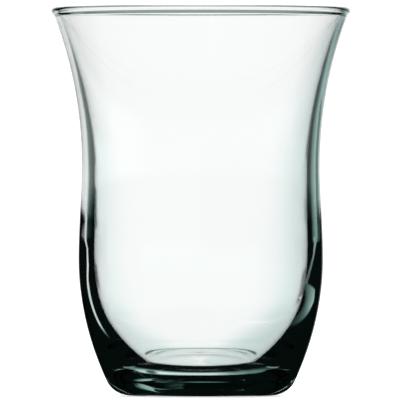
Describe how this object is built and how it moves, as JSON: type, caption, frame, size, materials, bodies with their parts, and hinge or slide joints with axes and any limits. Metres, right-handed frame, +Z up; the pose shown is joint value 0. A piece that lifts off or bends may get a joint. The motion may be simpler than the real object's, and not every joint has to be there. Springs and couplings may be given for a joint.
{
  "type": "tea glass",
  "caption": "Waisted clear tea glass with a flared mouth, a beaded lip and a heavy rounded base, for drinking hot tea.",
  "frame": {"origin": "centre of the foot, on the surface that the glass stands on", "axes": "+Z up along the axis of the glass, towards its mouth; X and Y are alike, because the glass is round"},
  "size_m": [0.0656, 0.0656, 0.085],
  "materials": {
    "clear_glass": "fire-polished clear soda-lime glass, with a faint green tint in its thick parts"
  },
  "bodies": {
    "root": {"glass_body": "clear_glass"}
  },
  "joints": []
}
